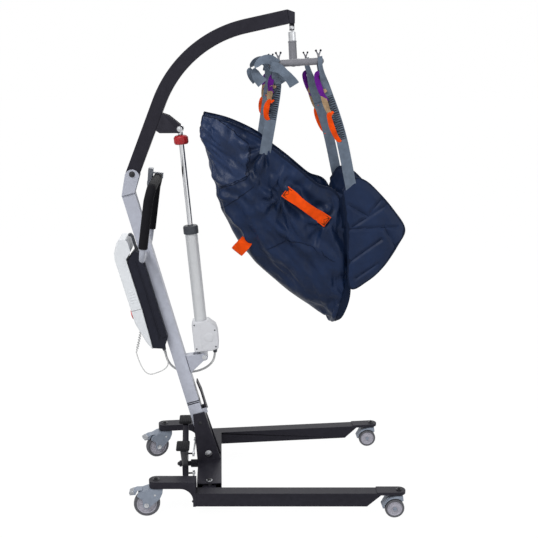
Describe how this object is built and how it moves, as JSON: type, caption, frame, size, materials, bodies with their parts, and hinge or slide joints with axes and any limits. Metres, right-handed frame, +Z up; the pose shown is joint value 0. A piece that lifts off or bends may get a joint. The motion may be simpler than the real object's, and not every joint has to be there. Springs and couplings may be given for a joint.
{
  "type": "patient lift hoist",
  "caption": "Mobile patient lift hoist: leaning mast, bent boom on a linear actuator, spreader bar with a hanging sling, and a low base of spreading legs on castors.",
  "frame": {"origin": "on the floor, below the middle of the whole outline", "axes": "+X forward along the legs, from the push handle to the sling; +Y to the hoist's left; +Z up"},
  "size_m": [1.0946, 0.677, 1.8719],
  "materials": {
    "mast_paint": "satin",
    "charcoal_paint": "satin",
    "hanger_paint": "satin",
    "steel": "satin",
    "chrome": "polished",
    "castor_housing": "matte",
    "castor_hub": "matte",
    "tyre": "matte",
    "brake_pedal": "satin",
    "foot_rubber": "matte",
    "grip_foam": "matte",
    "control_white": "satin",
    "bracket_black": "matte",
    "stop_red": "gloss",
    "latch_grey": "satin",
    "catch_grey": "matte",
    "handset_grey": "matte",
    "button_light": "satin",
    "cable_grey": "matte",
    "actuator_white": "satin",
    "actuator_tube": "satin",
    "collar_red": "satin",
    "sling_navy": "matte",
    "strap_grey": "matte"
  },
  "bodies": {
    "base": {"cross_beam": "charcoal_paint", "leg_pivot_bolts": "steel", "mast_socket": "charcoal_paint", "mast_pivot_bolt": "steel", "pedal_shaft": "steel"},
    "spreader_pedals": {"pedal_rocker": "charcoal_paint", "foot_pads": "foot_rubber"},
    "mast": {"mast_tube": "mast_paint", "mast_head": "mast_paint", "boom_pivot_pin": "steel", "actuator_bracket": "mast_paint", "actuator_pin": "steel", "push_handle": "mast_paint", "handle_grip": "grip_foam", "control_bracket": "bracket_black", "control_unit": "control_white", "handset": "handset_grey", "actuator_cable": "cable_grey", "handset_lead": "cable_grey", "handset_coil": "cable_grey"},
    "latch": {"mast_latch": "latch_grey"},
    "battery": {"battery_pack": "control_white"},
    "battery_catch": {"battery_latch": "catch_grey"},
    "stop": {"stop_button": "stop_red"},
    "up_button": {"handset_button_up": "button_light"},
    "down_button": {"handset_button_down": "button_light"},
    "boom": {"boom_tube": "charcoal_paint", "boom_bracket": "charcoal_paint", "boom_end_block": "charcoal_paint"},
    "actuator": {"motor_housing": "actuator_white", "actuator_tube": "actuator_tube"},
    "rod": {"piston_rod": "chrome"},
    "collar": {"release_collar": "collar_red"},
    "swivel": {"hanger_swivel": "steel"},
    "hanger": {"spreader_bar": "hanger_paint", "sling_body": "sling_navy", "sling_leg_flaps": "sling_navy", "sling_straps": "strap_grey"},
    "left_leg": {"left_leg_tube": "charcoal_paint", "left_front_plate": "charcoal_paint", "left_rear_arm": "charcoal_paint"},
    "left_tie": {"left_tie_rod": "steel"},
    "left_rear_castor": {"left_rear_housing": "castor_housing"},
    "left_rear_wheel": {"left_rear_tyre": "tyre", "left_rear_hub": "castor_hub"},
    "left_rear_brake": {"left_rear_brake_pedal": "brake_pedal"},
    "left_front_castor": {"left_front_fork": "castor_housing"},
    "left_front_wheel": {"left_front_tyres": "tyre", "left_front_hubs": "castor_hub"},
    "right_leg": {"right_leg_tube": "charcoal_paint", "right_front_plate": "charcoal_paint", "right_rear_arm": "charcoal_paint"},
    "right_tie": {"right_tie_rod": "steel"},
    "right_rear_castor": {"right_rear_housing": "castor_housing"},
    "right_rear_wheel": {"right_rear_tyre": "tyre", "right_rear_hub": "castor_hub"},
    "right_rear_brake": {"right_rear_brake_pedal": "brake_pedal"},
    "right_front_castor": {"right_front_fork": "castor_housing"},
    "right_front_wheel": {"right_front_tyres": "tyre", "right_front_hubs": "castor_hub"}
  },
  "joints": [
    {"name": "left_leg_spread", "type": "hinge", "parent": "base", "child": "left_leg", "pos_m": [-0.1987, 0.215, 0.085], "axis": [0, 0, 1], "range_deg": [-3.2, 9]},
    {"name": "right_leg_spread", "type": "hinge", "parent": "base", "child": "right_leg", "pos_m": [-0.1987, -0.215, 0.085], "axis": [0, 0, -1], "range_deg": [-3.2, 9]},
    {"name": "pedal_rock", "type": "hinge", "parent": "base", "child": "spreader_pedals", "pos_m": [-0.2937, 0, 0.08], "axis": [1, 0, 0], "range_deg": [-6, 15]},
    {"name": "left_tie_swing", "type": "hinge", "parent": "left_leg", "child": "left_tie", "pos_m": [-0.2667, 0.2282, 0.078], "axis": [0, 0, -1], "range_deg": [-3.5, 9]},
    {"name": "left_rear_swivel", "type": "hinge", "parent": "left_leg", "child": "left_rear_castor", "pos_m": [-0.39972, 0.25995, 0.135], "axis": [0, 0, 1], "continuous": true},
    {"name": "left_rear_roll", "type": "hinge", "parent": "left_rear_castor", "child": "left_rear_wheel", "pos_m": [-0.43326, 0.24431, 0.05], "axis": [-0.4226, 0.9063, 0], "continuous": true},
    {"name": "left_rear_brake_press", "type": "hinge", "parent": "left_rear_castor", "child": "left_rear_brake", "pos_m": [-0.4541, 0.23459, 0.11], "axis": [0.4226, -0.9063, 0], "range_deg": [0, 8]},
    {"name": "left_front_swivel", "type": "hinge", "parent": "left_leg", "child": "left_front_castor", "pos_m": [0.52234, 0.3115, 0.098], "axis": [0, 0, 1], "continuous": true},
    {"name": "left_front_roll", "type": "hinge", "parent": "left_front_castor", "child": "left_front_wheel", "pos_m": [0.50434, 0.3115, 0.0375], "axis": [0, 1, 0], "continuous": true},
    {"name": "right_tie_swing", "type": "hinge", "parent": "right_leg", "child": "right_tie", "pos_m": [-0.2667, -0.2282, 0.078], "axis": [0, 0, 1], "range_deg": [-3.5, 9]},
    {"name": "right_rear_swivel", "type": "hinge", "parent": "right_leg", "child": "right_rear_castor", "pos_m": [-0.39972, -0.25995, 0.135], "axis": [0, 0, 1], "continuous": true},
    {"name": "right_rear_roll", "type": "hinge", "parent": "right_rear_castor", "child": "right_rear_wheel", "pos_m": [-0.43672, -0.25995, 0.05], "axis": [0, 1, 0], "continuous": true},
    {"name": "right_rear_brake_press", "type": "hinge", "parent": "right_rear_castor", "child": "right_rear_brake", "pos_m": [-0.45972, -0.25995, 0.11], "axis": [0, -1, 0], "range_deg": [0, 8]},
    {"name": "right_front_swivel", "type": "hinge", "parent": "right_leg", "child": "right_front_castor", "pos_m": [0.52234, -0.3115, 0.098], "axis": [0, 0, 1], "continuous": true},
    {"name": "right_front_roll", "type": "hinge", "parent": "right_front_castor", "child": "right_front_wheel", "pos_m": [0.50434, -0.3115, 0.0375], "axis": [0, 1, 0], "continuous": true},
    {"name": "mast_fold", "type": "hinge", "parent": "base", "child": "mast", "pos_m": [-0.2037, 0, 0.138], "axis": [0, 1, 0], "range_deg": [0, 40]},
    {"name": "latch_release", "type": "hinge", "parent": "mast", "child": "latch", "pos_m": [-0.21481, 0, 0.32241], "axis": [0, -1, 0], "range_deg": [0, 4], "stiffness_Nm_per_rad": 1},
    {"name": "battery_lift", "type": "slide", "parent": "mast", "child": "battery", "axis": [-0.2588, 0, 0.9659], "range_m": [0, 0.08]},
    {"name": "battery_catch_turn", "type": "hinge", "parent": "mast", "child": "battery_catch", "pos_m": [-0.47115, 0, 0.99705], "axis": [0, 1, 0], "range_deg": [0, 6]},
    {"name": "stop_press", "type": "slide", "parent": "mast", "child": "stop", "axis": [0.9659, 0, 0.2588], "range_m": [0, 0.0035], "stiffness_N_per_m": 600},
    {"name": "up_press", "type": "slide", "parent": "mast", "child": "up_button", "axis": [0.9952, 0, -0.0976], "range_m": [0, 0.0015], "stiffness_N_per_m": 300, "springref_m": -0.0005},
    {"name": "down_press", "type": "slide", "parent": "mast", "child": "down_button", "axis": [0.9952, 0, -0.0976], "range_m": [0, 0.0015], "stiffness_N_per_m": 300, "springref_m": -0.0005},
    {"name": "boom_lift", "type": "hinge", "parent": "mast", "child": "boom", "pos_m": [-0.4707, 0, 1.278], "axis": [0, -1, 0], "range_deg": [-42, 0]},
    {"name": "actuator_tilt", "type": "hinge", "parent": "mast", "child": "actuator", "pos_m": [-0.2137, 0, 0.546], "axis": [0, 1, 0], "range_deg": [0, 5]},
    {"name": "rod_slide", "type": "slide", "parent": "actuator", "child": "rod", "axis": [-0.0843, 0, 0.9964], "range_m": [-0.17, 0]},
    {"name": "collar_turn", "type": "hinge", "parent": "rod", "child": "collar", "pos_m": [-0.28623, 0, 1.40294], "axis": [-0.0843, 0, 0.9964], "range_deg": [0, 90]},
    {"name": "hanger_tilt", "type": "hinge", "parent": "boom", "child": "swivel", "pos_m": [0.1273, 0, 1.808], "axis": [0, -1, 0], "range_deg": [0, 42]},
    {"name": "hanger_turn", "type": "hinge", "parent": "swivel", "child": "hanger", "pos_m": [0.13086, 0, 1.74811], "axis": [-0.0593, 0, 0.9982], "range_deg": [-30, 30]}
  ],
  "couplings": [
    {"joint": "right_leg_spread", "follows": "left_leg_spread", "ratio": 1},
    {"joint": "pedal_rock", "follows": "left_leg_spread", "ratio": 1.56},
    {"joint": "left_tie_swing", "follows": "left_leg_spread", "ratio": 0.963},
    {"joint": "right_tie_swing", "follows": "left_leg_spread", "ratio": 0.963},
    {"joint": "actuator_tilt", "follows": "boom_lift", "ratio": -0.1115},
    {"joint": "rod_slide", "follows": "boom_lift", "m_per_rad": 0.2223},
    {"joint": "hanger_tilt", "follows": "boom_lift", "ratio": -1}
  ]
}
